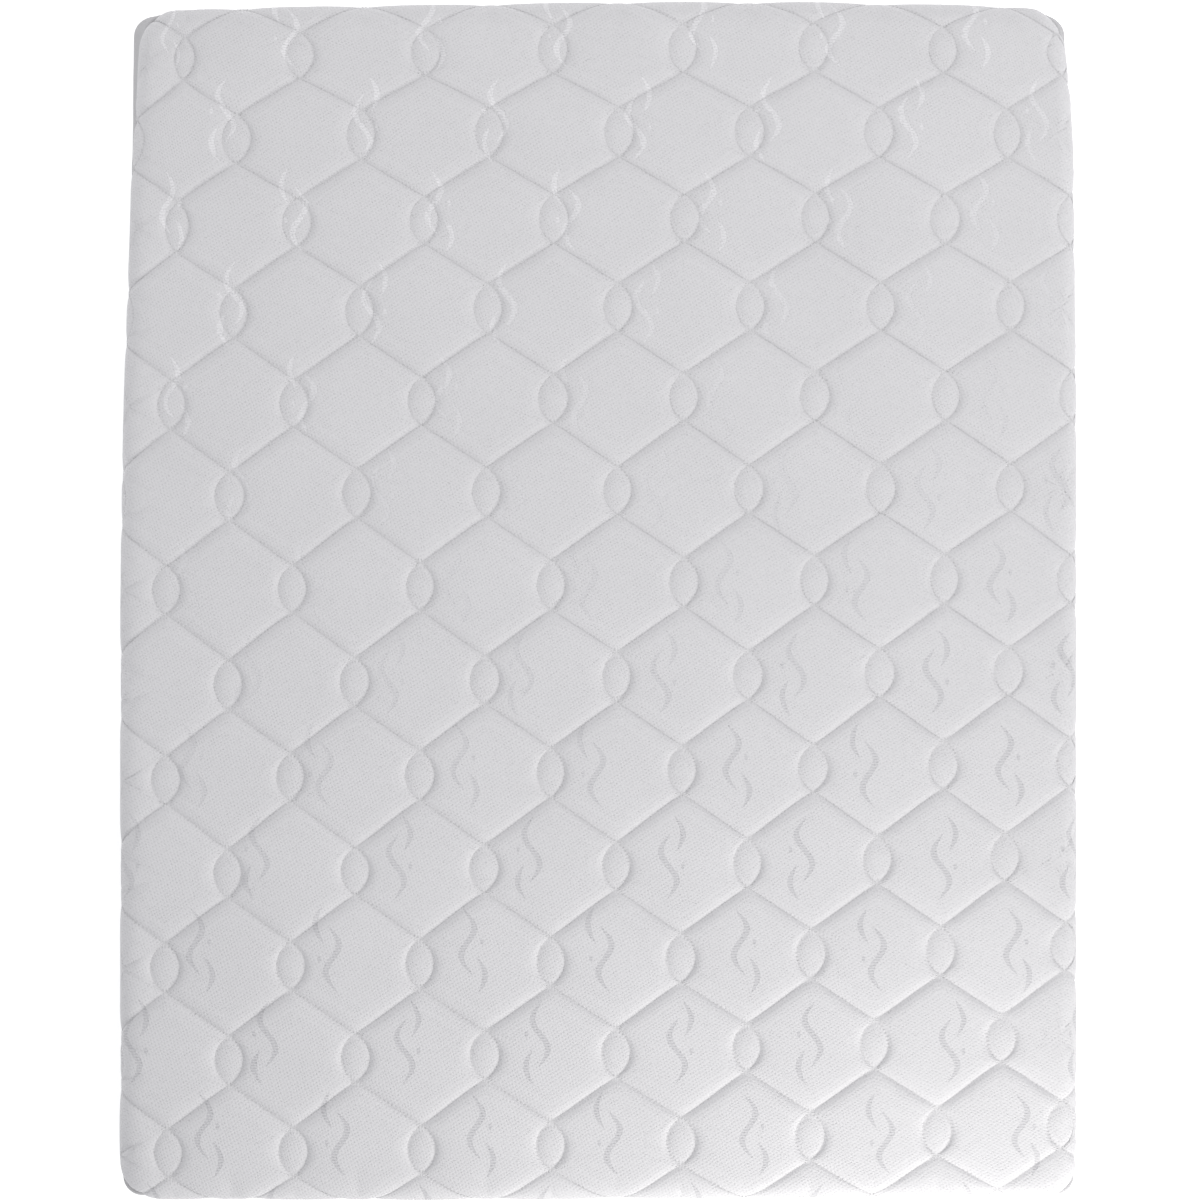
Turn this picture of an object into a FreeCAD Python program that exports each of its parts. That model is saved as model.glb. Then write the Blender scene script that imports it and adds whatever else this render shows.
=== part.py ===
import FreeCAD, Part
import math
import os

# ---------------------------------------------------------------------------
# Memory foam mattress, 160 x 200 cm, with a zip-off quilted cover.
# Frame: +Z up, +Y towards the head end, origin under the middle of the
# mattress, on the surface it lies on. All sizes in millimetres.
# ---------------------------------------------------------------------------

# overall size
WIDTH = 1600.0            # across, along X
LENGTH = 2000.0           # head to foot, along Y
HEIGHT = 220.0            # along Z
PANEL_R = 65.0            # corner radius of the quilted panel in plan
PANEL_EDGE_R = 35.0       # rounding of its top edge
PANEL_SEAM_Z = 170.0      # height of the seam between panel and border

# plies of the quilted panel, as depths below its outer surface
TICKING = (0.0, 1.5)
WADDING = (1.7, 12.7)
BACKING = (12.9, 13.7)

# side border: half width of each ply's outer and inner face
BORDER_R = 30.0
BORDER_OUT = 796.0
BORDER_TICKING = (796.0, 794.5)
BORDER_WADDING = (792.9, 787.2)
BORDER_LINING = (787.0, 786.2)
BORDER_Z = (53.0, 170.0)

# zip
ZIP_Z = 48.0              # middle of the zip
TAPE = (793.9, 793.1)
TAPE_UPPER_Z = (51.6, 63.0)
TAPE_LOWER_Z = (33.0, 44.4)
COIL = (794.7, 792.3)
COIL_UPPER_Z = (48.7, 51.4)
COIL_LOWER_Z = (44.6, 47.3)
ZIP_END_X = (594.8, 609.2)    # where the coils begin and end at the foot
STOP_LEN = 3.0
SLIDER_X = 588.0          # where the closed slider is parked
SLIDER_LEN = 11.0

# under cover
LOWER_BORDER = (796.0, 794.5)
LOWER_BORDER_Z = (6.2, 43.0)
BINDING = (797.0, 794.2)
BINDING_Z = (0.6, 6.0)
UNDER_HALF = 794.0
UNDER_R = 28.0
UNDER_T = 3.0

# foam
FOAM_HALF = 785.0
FOAM_R = 50.0
FOAM_EDGE_R = 20.0
CORE_Z = (3.3, 113.3)
TRANSITION_Z = (113.5, 143.5)
MEMORY_Z = (143.7, 203.7)

DY = (LENGTH - WIDTH) / 2.0   # a half width along X becomes this much more along Y


def rounded_wire(hx, hy, r, z):
    """Closed rectangle of half sizes hx, hy with corner radius r."""
    v = FreeCAD.Vector
    s = r * (1.0 - math.sqrt(0.5))
    edges = [
        Part.LineSegment(v(-hx + r, -hy, z), v(hx - r, -hy, z)),
        Part.Arc(v(hx - r, -hy, z), v(hx - s, -hy + s, z), v(hx, -hy + r, z)),
        Part.LineSegment(v(hx, -hy + r, z), v(hx, hy - r, z)),
        Part.Arc(v(hx, hy - r, z), v(hx - s, hy - s, z), v(hx - r, hy, z)),
        Part.LineSegment(v(hx - r, hy, z), v(-hx + r, hy, z)),
        Part.Arc(v(-hx + r, hy, z), v(-hx + s, hy - s, z), v(-hx, hy - r, z)),
        Part.LineSegment(v(-hx, hy - r, z), v(-hx, -hy + r, z)),
        Part.Arc(v(-hx, -hy + r, z), v(-hx + s, -hy + s, z), v(-hx + r, -hy, z)),
    ]
    return Part.Wire([e.toShape() for e in edges])


def block(half, r, z0, z1):
    """Rounded block whose half width along X is half."""
    face = Part.Face(rounded_wire(half, half + DY, r, z0))
    return face.extrude(FreeCAD.Vector(0, 0, z1 - z0))


def round_edges(shape, z, r):
    """Round every edge that lies in the plane at height z."""
    edges = [e for e in shape.Edges
             if abs(e.BoundBox.ZMin - z) < 1e-6 and abs(e.BoundBox.ZMax - z) < 1e-6]
    return shape.makeFillet(r, edges)


def ring(out_half, in_half, r, z0, z1, r_in=None):
    """Upright band that follows the outline, between two half widths."""
    if r_in is None:
        r_in = r - (out_half - in_half)
    outer = block(out_half, r, z0, z1)
    inner = block(in_half, r_in, z0 - 1.0, z1 + 1.0)
    return outer.cut(inner)


def border_radius(half):
    """Corner radius of a border ply, so that the plies stay parallel."""
    return BORDER_R - (BORDER_OUT - half)


def box(x0, x1, y0, y1, z0, z1):
    return Part.makeBox(x1 - x0, y1 - y0, z1 - z0, FreeCAD.Vector(x0, y0, z0))


def cap(depth, z0):
    """Dome of the quilted panel at a depth below its outer surface."""
    half = WIDTH / 2.0 - depth
    top = HEIGHT - depth
    return round_edges(block(half, PANEL_R - depth, z0, top), top, PANEL_EDGE_R - depth)


def ply(depths):
    """One ply of the quilted panel, open underneath."""
    outer = cap(depths[0], PANEL_SEAM_Z)
    inner = cap(depths[1], PANEL_SEAM_Z - 5.0)
    return outer.cut(inner)


def foam(z0, z1, edge=0.0):
    s = block(FOAM_HALF, FOAM_R, z0, z1)
    return round_edges(s, z1, edge) if edge else s


def cord_gap(shape, x0, x1):
    """Take out the stretch of a band between x0 and x1 at the foot end."""
    y = -(COIL[0] + DY)
    return shape.cut(box(x0, x1, y - 5.0, y + 10.0, 0.0, 100.0))


def coil(zr):
    r = border_radius(COIL[0])
    c = ring(COIL[0], COIL[1], r, zr[0], zr[1])
    return cord_gap(c, ZIP_END_X[0], ZIP_END_X[1])


def stops(zr):
    """Clips that butt against the two ends of a coil."""
    y0, y1 = -(COIL[0] + 0.3 + DY), -(COIL[1] - 0.3 + DY)
    z0, z1 = zr[0] - 0.2, zr[1] + 0.2
    out = []
    for x in (ZIP_END_X[0] + 0.2, ZIP_END_X[1] - 0.2 - STOP_LEN):
        b = box(x, x + STOP_LEN, y0, y1, z0, z1)
        out.append(b.makeFillet(0.5, b.Edges))
    return Part.makeCompound(out)


# ------------------------------------------------------------ quilted panel
quilt_ticking = ply(TICKING)
quilt_wadding = ply(WADDING)
quilt_backing = ply(BACKING)

# ------------------------------------------------------------- side border
border_ticking = ring(BORDER_TICKING[0], BORDER_TICKING[1],
                      border_radius(BORDER_TICKING[0]), *BORDER_Z)
border_wadding = ring(BORDER_WADDING[0], BORDER_WADDING[1],
                      border_radius(BORDER_WADDING[0]), *BORDER_Z)
border_lining = ring(BORDER_LINING[0], BORDER_LINING[1],
                     border_radius(BORDER_LINING[0]), *BORDER_Z)

# --------------------------------------------------------------------- zip
zip_tape_upper = ring(TAPE[0], TAPE[1], border_radius(TAPE[0]), *TAPE_UPPER_Z)
zip_tape_lower = ring(TAPE[0], TAPE[1], border_radius(TAPE[0]), *TAPE_LOWER_Z)
zip_coil_upper = coil(COIL_UPPER_Z)
zip_coil_lower = coil(COIL_LOWER_Z)
zip_stops_upper = stops(COIL_UPPER_Z)
zip_stops_lower = stops(COIL_LOWER_Z)

# Slider: a front plate outside the coils, a back plate inside them and a thin
# web between them. It is open at the top, so that the upper coil lifts out,
# and hooks under the lower coil. The bail is a bar along the travel.
PLATE_FRONT_Y = -(COIL[0] + 0.4 + DY)         # inner face of the front plate
PLATE_BACK_Y = -(COIL[1] - 0.4 + DY)          # outer face of the back plate
PLATE_T = 1.4
BACK_T = 1.2
SLIDER_Z = (43.7, 52.3)
BAR_R = 0.6
EYE_IN = 0.75
EYE_OUT = 1.45
BAR_Y = PLATE_FRONT_Y - PLATE_T - 0.25 - EYE_OUT
BAR_HALF = 4.6
POST_IN = 3.0

sx0, sx1 = SLIDER_X - SLIDER_LEN / 2.0, SLIDER_X + SLIDER_LEN / 2.0
front = box(sx0, sx1, PLATE_FRONT_Y - PLATE_T, PLATE_FRONT_Y, SLIDER_Z[0], SLIDER_Z[1])
front = front.makeFillet(1.6, [e for e in front.Edges
                               if abs(e.BoundBox.YMax - e.BoundBox.YMin - PLATE_T) < 1e-6])
back = box(sx0, sx1, PLATE_BACK_Y, PLATE_BACK_Y + BACK_T, SLIDER_Z[0], SLIDER_Z[1] - 0.3)
back = back.makeFillet(1.4, [e for e in back.Edges
                             if abs(e.BoundBox.YMax - e.BoundBox.YMin - BACK_T) < 1e-6])
web = box(SLIDER_X - 3.0, SLIDER_X + 3.0, PLATE_FRONT_Y - 0.2, PLATE_BACK_Y + 0.2,
          ZIP_Z - 0.3, ZIP_Z + 0.3)
lip_f = box(sx0 + 1.6, sx1 - 1.6, PLATE_FRONT_Y - 0.2, PLATE_FRONT_Y + 0.8,
            SLIDER_Z[0], SLIDER_Z[0] + 0.6)
lip_b = box(sx0 + 1.6, sx1 - 1.6, PLATE_BACK_Y - 0.8, PLATE_BACK_Y + 0.2,
            SLIDER_Z[0], SLIDER_Z[0] + 0.6)
zip_slider = front.fuse([back, web, lip_f, lip_b])
bar = Part.makeCylinder(BAR_R, 2.0 * BAR_HALF, FreeCAD.Vector(SLIDER_X - BAR_HALF, BAR_Y, ZIP_Z),
                        FreeCAD.Vector(1, 0, 0))
posts = []
for side in (-1.0, 1.0):
    x0 = SLIDER_X + side * (POST_IN + BAR_HALF) / 2.0 - (BAR_HALF - POST_IN) / 2.0
    posts.append(box(x0, x0 + BAR_HALF - POST_IN, BAR_Y - BAR_R,
                     PLATE_FRONT_Y - PLATE_T + 0.2, ZIP_Z - 1.1, ZIP_Z + 1.1))
zip_slider = zip_slider.fuse([bar] + posts).removeSplitter()

# Pull tab: an eye round the bar and a flat tab that hangs from it.
PULL_LEN = 27.0
PULL_W = 7.0
PULL_T = 1.2
EYE_W = 5.6
eye = Part.makeCylinder(EYE_OUT, EYE_W, FreeCAD.Vector(SLIDER_X - EYE_W / 2.0, BAR_Y, ZIP_Z),
                        FreeCAD.Vector(1, 0, 0))
neck = box(SLIDER_X - EYE_W / 2.0, SLIDER_X + EYE_W / 2.0, BAR_Y - PULL_T / 2.0,
           BAR_Y + PULL_T / 2.0, ZIP_Z - 7.0, ZIP_Z)
tab = box(SLIDER_X - PULL_W / 2.0, SLIDER_X + PULL_W / 2.0, BAR_Y - PULL_T / 2.0,
          BAR_Y + PULL_T / 2.0, ZIP_Z - PULL_LEN, ZIP_Z - 5.5)
tab = tab.makeFillet(2.4, [e for e in tab.Edges
                           if abs(e.BoundBox.YMax - e.BoundBox.YMin - PULL_T) < 1e-6
                           and e.BoundBox.ZMax < ZIP_Z - PULL_LEN + 0.1])
tab = tab.makeFillet(1.0, [e for e in tab.Edges
                           if abs(e.BoundBox.YMax - e.BoundBox.YMin - PULL_T) < 1e-6
                           and e.BoundBox.ZMin > ZIP_Z - 6.0
                           and abs(e.BoundBox.ZMax - e.BoundBox.ZMin) > 1e-6] or
                          [e for e in tab.Edges
                           if abs(e.BoundBox.YMax - e.BoundBox.YMin - PULL_T) < 1e-6
                           and e.BoundBox.ZMin > ZIP_Z - 6.0])
zip_pull = tab.fuse([neck, eye])
bore = Part.makeCylinder(EYE_IN, EYE_W + 4.0,
                         FreeCAD.Vector(SLIDER_X - EYE_W / 2.0 - 2.0, BAR_Y, ZIP_Z),
                         FreeCAD.Vector(1, 0, 0))
zip_pull = zip_pull.cut(bore).removeSplitter()

# ------------------------------------------------------------- under cover
lower_border = ring(LOWER_BORDER[0], LOWER_BORDER[1],
                    border_radius(LOWER_BORDER[0]), *LOWER_BORDER_Z)
bottom_seam_binding = ring(BINDING[0], BINDING[1], border_radius(BINDING[0]), *BINDING_Z)
bottom_panel = block(UNDER_HALF, UNDER_R, 0.0, UNDER_T)

# -------------------------------------------------------------------- foam
support_foam_core = foam(*CORE_Z)
transition_foam_layer = foam(*TRANSITION_Z)
memory_foam_layer = foam(MEMORY_Z[0], MEMORY_Z[1], FOAM_EDGE_R)

NODES = {
    "quilt_ticking": quilt_ticking,
    "quilt_wadding": quilt_wadding,
    "quilt_backing": quilt_backing,
    "border_ticking": border_ticking,
    "border_wadding": border_wadding,
    "border_lining": border_lining,
    "zip_tape_upper": zip_tape_upper,
    "zip_tape_lower": zip_tape_lower,
    "zip_coil_upper": zip_coil_upper,
    "zip_coil_lower": zip_coil_lower,
    "zip_stops_upper": zip_stops_upper,
    "zip_stops_lower": zip_stops_lower,
    "zip_slider": zip_slider,
    "zip_pull": zip_pull,
    "lower_border": lower_border,
    "bottom_seam_binding": bottom_seam_binding,
    "bottom_panel": bottom_panel,
    "support_foam_core": support_foam_core,
    "transition_foam_layer": transition_foam_layer,
    "memory_foam_layer": memory_foam_layer,
}

os.makedirs("parts", exist_ok=True)
for name, shape in NODES.items():
    if not shape.isValid():
        raise RuntimeError(name + " is not a valid shape")
    shape.exportStep("parts/" + name + ".step")
    b = shape.BoundBox
    print("%-24s solids %d  vol %.1f cm3  x %.1f..%.1f y %.1f..%.1f z %.2f..%.2f" % (
        name, len(shape.Solids), shape.Volume / 1000.0, b.XMin, b.XMax, b.YMin, b.YMax,
        b.ZMin, b.ZMax))
print("bar y", BAR_Y)
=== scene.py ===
import math

import bpy
import numpy as np
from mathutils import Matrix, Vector


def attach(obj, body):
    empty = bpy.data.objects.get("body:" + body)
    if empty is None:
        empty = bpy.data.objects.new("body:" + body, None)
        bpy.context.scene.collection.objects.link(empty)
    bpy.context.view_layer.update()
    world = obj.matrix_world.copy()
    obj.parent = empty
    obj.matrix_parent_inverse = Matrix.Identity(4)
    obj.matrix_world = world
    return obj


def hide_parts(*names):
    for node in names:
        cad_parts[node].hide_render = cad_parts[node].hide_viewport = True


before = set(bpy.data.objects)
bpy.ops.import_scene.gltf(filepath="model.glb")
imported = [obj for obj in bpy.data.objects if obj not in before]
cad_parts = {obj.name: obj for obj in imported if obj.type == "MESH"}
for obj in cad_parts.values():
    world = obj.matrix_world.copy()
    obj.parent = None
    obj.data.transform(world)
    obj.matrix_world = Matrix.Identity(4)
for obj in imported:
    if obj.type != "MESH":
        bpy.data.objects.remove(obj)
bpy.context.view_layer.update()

MM = 0.001
scene = bpy.context.scene

# ===========================================================================
# camera, light, world
# ===========================================================================
SURFACE_Z = 0.218                 # height of the quilted surface
CAM_D = 4.6                       # camera to surface
cam_data = bpy.data.cameras.new("camera")
cam = bpy.data.objects.new("camera", cam_data)
scene.collection.objects.link(cam)
cam_data.sensor_width = 36.0
VIEW_M = 1.9825                   # what the square frame takes in, on the surface
cam_data.lens = 36.0 * CAM_D / VIEW_M
cam_data.clip_end = 60.0
cam.location = (0.0025, 0.0015, SURFACE_Z + CAM_D)
cam.rotation_euler = (0.0, 0.0, 0.0)
scene.camera = cam

scene.view_settings.view_transform = "Standard"
scene.view_settings.look = "None"
scene.view_settings.exposure = 0.0
scene.view_settings.gamma = 1.0


def area_light(name, loc, aim, size, power, color=(1, 1, 1), size_y=None):
    d = bpy.data.lights.new(name, "AREA")
    d.shape = "RECTANGLE" if size_y else "SQUARE"
    d.size = size
    if size_y:
        d.size_y = size_y
    d.energy = power
    d.color = color
    o = bpy.data.objects.new(name, d)
    scene.collection.objects.link(o)
    o.location = loc
    o.rotation_euler = (Vector(aim) - Vector(loc)).to_track_quat("-Z", "Y").to_euler()
    return o


world = bpy.data.worlds.new("world")
scene.world = world
world.use_nodes = True
world.node_tree.nodes["Background"].inputs["Color"].default_value = (0.97, 0.98, 1.0, 1)
world.node_tree.nodes["Background"].inputs["Strength"].default_value = 0.655

area_light("key_foot", (0.95, -2.05, 1.0), (0.3, -0.55, 0.2), 0.9, 20.5, (1.0, 0.985, 0.955))
area_light("key_right", (2.5, 0.8, 1.3), (0.2, 0.5, 0.2), 1.6, 12.0, (1.0, 0.99, 0.975))
area_light("top_head", (-0.2, 1.6, 3.2), (0.0, 0.6, 0.2), 2.4, 27.0, (1.0, 0.985, 0.965))


# ===========================================================================
# node helpers
# ===========================================================================
class Graph:
    """Small helper that builds a material's node graph."""

    def __init__(self, name):
        self.mat = bpy.data.materials.new(name)
        self.mat.use_nodes = True
        self.nt = self.mat.node_tree
        self.nt.nodes.clear()
        self.out = self.nt.nodes.new("ShaderNodeOutputMaterial")

    def node(self, kind, **props):
        n = self.nt.nodes.new(kind)
        for k, v in props.items():
            setattr(n, k, v)
        return n

    def put(self, socket, value):
        if isinstance(value, bpy.types.NodeSocket):
            self.nt.links.new(value, socket)
        elif value is not None:
            socket.default_value = value

    def math(self, op, a, b=None, c=None, clamp=False):
        n = self.node("ShaderNodeMath", operation=op, use_clamp=clamp)
        self.put(n.inputs[0], a)
        if b is not None:
            self.put(n.inputs[1], b)
        if c is not None:
            self.put(n.inputs[2], c)
        return n.outputs[0]

    def add(self, a, b): return self.math("ADD", a, b)
    def sub(self, a, b): return self.math("SUBTRACT", a, b)
    def mul(self, a, b): return self.math("MULTIPLY", a, b)
    def div(self, a, b): return self.math("DIVIDE", a, b)
    def clamp(self, a): return self.math("ADD", a, 0.0, clamp=True)

    def smooth(self, x, lo, hi):
        """0 below lo, 1 above hi, smooth in between."""
        n = self.node("ShaderNodeMapRange", interpolation_type="SMOOTHSTEP")
        self.put(n.inputs["Value"], x)
        self.put(n.inputs["From Min"], lo)
        self.put(n.inputs["From Max"], hi)
        return n.outputs["Result"]

    def remap(self, x, a, b, c, d):
        n = self.node("ShaderNodeMapRange")
        self.put(n.inputs["Value"], x)
        for k, v in zip(("From Min", "From Max", "To Min", "To Max"), (a, b, c, d)):
            self.put(n.inputs[k], v)
        return n.outputs["Result"]

    def mix(self, f, a, b):
        n = self.node("ShaderNodeMix", data_type="RGBA")
        self.put(n.inputs["Factor"], f)
        self.put(n.inputs[6], a)
        self.put(n.inputs[7], b)
        return n.outputs[2]

    def combine(self, x, y, z):
        n = self.node("ShaderNodeCombineXYZ")
        for s, v in zip(n.inputs, (x, y, z)):
            self.put(s, v)
        return n.outputs[0]

    def split(self, v):
        n = self.node("ShaderNodeSeparateXYZ")
        self.put(n.inputs[0], v)
        return n.outputs

    def attr(self, name, out="Vector"):
        n = self.node("ShaderNodeAttribute", attribute_name=name)
        return n.outputs[out]

    def uv(self, name):
        return self.node("ShaderNodeUVMap", uv_map=name).outputs[0]

    def obj(self):
        return self.node("ShaderNodeTexCoord").outputs["Object"]

    def noise(self, vec, scale, detail=2.0, rough=0.5, out="Fac"):
        n = self.node("ShaderNodeTexNoise")
        self.put(n.inputs["Vector"], vec)
        self.put(n.inputs["Scale"], scale)
        self.put(n.inputs["Detail"], detail)
        self.put(n.inputs["Roughness"], rough)
        return n.outputs[out]

    def voronoi(self, vec, scale, feature="F1", rand=1.0, out="Distance"):
        n = self.node("ShaderNodeTexVoronoi", feature=feature)
        self.put(n.inputs["Vector"], vec)
        self.put(n.inputs["Scale"], scale)
        self.put(n.inputs["Randomness"], rand)
        return n.outputs[out]

    def bump(self, height, dist, strength=1.0, normal=None):
        n = self.node("ShaderNodeBump")
        self.put(n.inputs["Height"], height)
        n.inputs["Distance"].default_value = dist
        n.inputs["Strength"].default_value = strength
        if normal is not None:
            self.put(n.inputs["Normal"], normal)
        return n.outputs[0]

    def surface(self, color, rough, normal=None, metallic=0.0, sheen=0.0, sheen_rough=0.5,
                spec=0.5, sss=0.0, coat=0.0):
        p = self.node("ShaderNodeBsdfPrincipled")
        self.put(p.inputs["Base Color"], color)
        self.put(p.inputs["Roughness"], rough)
        p.inputs["Metallic"].default_value = metallic
        p.inputs["Specular IOR Level"].default_value = spec
        p.inputs["Sheen Weight"].default_value = sheen
        p.inputs["Sheen Roughness"].default_value = sheen_rough
        p.inputs["Coat Weight"].default_value = coat
        if normal is not None:
            self.put(p.inputs["Normal"], normal)
        self.nt.links.new(p.outputs[0], self.out.inputs["Surface"])
        return self.mat


def rgb(r, g, b):
    return (r, g, b, 1.0)


# ===========================================================================
# materials
# ===========================================================================
def knit_height(g, u, v):
    """Fine pitted knit: dents in slanting rows. u, v in millimetres."""
    wob = g.noise(g.combine(u, v, 0.0), 0.035, 2.0, 0.6)
    wob = g.mul(g.sub(wob, 0.5), 5.0)
    wob2 = g.mul(g.sub(g.noise(g.combine(v, u, 7.0), 0.05, 2.0, 0.6), 0.5), 5.0)
    a = g.add(g.add(g.mul(u, 0.42), g.mul(v, 0.92)), wob)       # across the rows
    b = g.add(g.sub(g.mul(u, 0.93), g.mul(v, 0.28)), wob2)      # along a row
    row = g.math("FLOOR", g.div(a, 4.6))
    ca = g.math("COSINE", g.mul(g.div(a, 4.6), 2 * math.pi))
    shift = g.mul(g.math("MODULO", row, 2.0), 3.3)
    cb = g.math("COSINE", g.mul(g.div(g.add(b, shift), 6.6), 2 * math.pi))
    pit = g.mul(g.remap(ca, -1, 1, 1, 0), g.remap(cb, -1, 1, 0, 1))
    pit = g.math("POWER", pit, 1.6)
    amp = g.remap(g.noise(g.combine(u, v, 3.0), 0.14, 3.0, 0.7), 0.25, 0.75, 0.35, 1.25)
    pit = g.mul(pit, amp)
    # the knit's own ribs, about 1.1 mm apart, and loose fibre
    rib = g.math("SINE", g.mul(u, 2 * math.pi / 1.25))
    rib2 = g.math("SINE", g.mul(v, 2 * math.pi / 0.95))
    fibre = g.noise(g.combine(u, v, 11.0), 0.9, 3.0, 0.7)
    h = g.mul(pit, -1.7)
    h = g.add(h, g.mul(g.mul(rib, rib2), 0.10))
    h = g.add(h, g.mul(fibre, 0.38))
    return h, pit


def motif(g, u, v):
    """Generic woven figure: an S stroke, a small leaf stroke and a dot, turned and mirrored
    from place to place. Returns its mask. u, v in millimetres."""
    sx, sy = 225.0, 152.5
    ul = g.add(g.sub(u, 96.0), g.mul(v, 0.045))
    vv = g.div(g.add(v, 424.0), sy)
    iv = g.math("FLOOR", g.add(vv, 0.5))
    yl = g.mul(g.sub(vv, iv), sy)
    odd = g.math("FLOORED_MODULO", iv, 2.0)
    uu = g.sub(g.div(ul, sx), g.mul(odd, 0.5))
    iu = g.math("FLOOR", g.add(uu, 0.5))
    xl = g.mul(g.sub(uu, iu), sx)
    par = g.sub(1.0, g.mul(g.math("FLOORED_MODULO", iu, 2.0), 2.0))
    r = g.sub(1.0, g.mul(odd, 2.0))
    x = g.mul(xl, par)
    y = g.mul(yl, g.mul(par, r))

    def stroke(cy, hh, cx, w, k):
        t = g.div(g.sub(y, cy), hh)
        t2 = g.math("MINIMUM", g.mul(t, t), 1.0)
        half = g.mul(g.math("POWER", g.sub(1.0, t2), k), w)
        d = g.sub(half, g.math("ABSOLUTE", g.sub(x, cx(t))))
        return d

    s = stroke(-14.0, 55.0, lambda t: g.mul(g.math("SINE", g.mul(t, 3.6)), -12.0), 6.2, 0.62)
    leaf = stroke(41.0, 31.0, lambda t: g.add(12.0, g.mul(g.math("COSINE", g.mul(t, 1.5)), 14.0)),
                  5.2, 0.85)
    dx = g.div(g.sub(x, 23.0), 3.4)
    dy = g.div(g.add(y, 14.0), 6.4)
    dot = g.mul(g.sub(1.0, g.math("SQRT", g.add(g.mul(dx, dx), g.mul(dy, dy)))), 3.4)
    d = g.math("MAXIMUM", g.math("MAXIMUM", s, leaf), dot)
    return g.smooth(d, 0.0, 1.1)


def ticking_material(name, figured=True, seam=True, base=(0.702, 0.695, 0.711)):
    g = Graph(name)
    dev = g.split(g.attr("dev"))
    u, v = g.mul(dev[0], 1000.0), g.mul(dev[1], 1000.0)
    h, pit = knit_height(g, u, v)
    big = g.noise(g.combine(u, v, 0.0), 0.006, 3.0, 0.5)
    tone = g.remap(big, 0.3, 0.7, 0.985, 1.015)
    fine = g.remap(g.noise(g.combine(u, v, 5.0), 0.33, 2.0, 0.6), 0.3, 0.7, 0.985, 1.015)
    tone = g.mul(tone, fine)
    # painted shade: the colour is darkened in the knit's pits
    tone = g.sub(tone, g.mul(pit, 0.03))
    col = g.mix(1.0, rgb(*base), rgb(*base))
    if figured:
        m = motif(g, u, v)
        rib = g.remap(g.math("SINE", g.mul(v, 2 * math.pi / 4.6)), -1, 1, 0, 1)
        m = g.mul(m, g.remap(rib, 0, 1, 0.30, 1.0))
        # painted sheen and shade: the figure is painted lighter towards the head and left and darker towards the
        # foot, standing in for the satin floats' sheen under the light
        side = g.smooth(g.add(g.mul(u, 0.35), g.mul(v, -1.0)), -900.0, 650.0)
        figure_painted_sheen = g.mix(side, rgb(base[0] * 1.18, base[1] * 1.18, base[2] * 1.18),
                    rgb(base[0] * 0.80, base[1] * 0.80, base[2] * 0.81))
        col = g.mix(m, col, figure_painted_sheen)
        h = g.sub(h, g.mul(m, 0.9))
    if seam:
        sm = g.split(g.uv("seam"))
        # painted shade: the colour is darkened along the quilting lines, broken up by the stitch dashes
        seam_painted_shade = g.math("EXPONENT", g.mul(sm[1], -100.0 / 1.5))
        dash = g.remap(g.math("COSINE", g.mul(sm[0], 2 * math.pi * 100.0)), -1, 1, 0.45, 1.0)
        tone = g.sub(tone, g.mul(g.mul(seam_painted_shade, dash), 0.042))
    mixed = g.node("ShaderNodeVectorMath", operation="SCALE")
    g.put(mixed.inputs[0], col)
    g.put(mixed.inputs["Scale"], tone)
    n = g.bump(h, 0.00048, 1.0)
    if seam:
        s = g.split(g.uv("seam"))
        st = g.math("COSINE", g.mul(s[0], 2 * math.pi * 100.0))
        near = g.math("EXPONENT", g.mul(s[1], -100.0 / 3.2))
        puck = g.mul(g.mul(st, near), -0.22)
        n = g.bump(puck, 0.0012, 1.0, n)
    return g.surface(mixed.outputs[0], 0.82, n, sheen=0.12, sheen_rough=0.45, spec=0.28)


def cloth_material(name, base, pitch=1.4, twill=False, sheen=0.1):
    """Plain woven or knitted cloth from object coordinates."""
    g = Graph(name)
    p = g.split(g.obj())
    x, y, z = (g.mul(c, 1000.0) for c in p)
    a = g.add(x, y)
    b = g.add(z, g.mul(g.sub(x, y), 0.5))
    if twill:
        w = g.math("SINE", g.mul(g.add(a, g.mul(z, 1.0)), 2 * math.pi / pitch))
        w2 = g.math("SINE", g.mul(z, 2 * math.pi / (pitch * 1.4)))
        h = g.add(g.mul(w, 0.5), g.mul(w2, 0.3))
    else:
        w = g.math("SINE", g.mul(a, 2 * math.pi / pitch))
        w2 = g.math("SINE", g.mul(b, 2 * math.pi / pitch))
        h = g.mul(w, w2)
    f = g.noise(g.combine(x, y, z), 0.8, 3.0, 0.7)
    h = g.add(g.mul(h, 0.5), f)
    tone = g.remap(g.noise(g.combine(x, y, z), 0.02, 3.0, 0.55), 0.3, 0.7, 0.96, 1.03)
    tone = g.mul(tone, g.remap(f, 0.25, 0.75, 0.96, 1.03))
    c = g.node("ShaderNodeVectorMath", operation="SCALE")
    g.put(c.inputs[0], rgb(*base)[:3])
    g.put(c.inputs["Scale"], tone)
    n = g.bump(h, 0.00022, 1.0)
    return g.surface(c.outputs[0], 0.86, n, sheen=sheen, sheen_rough=0.5, spec=0.25)


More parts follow.
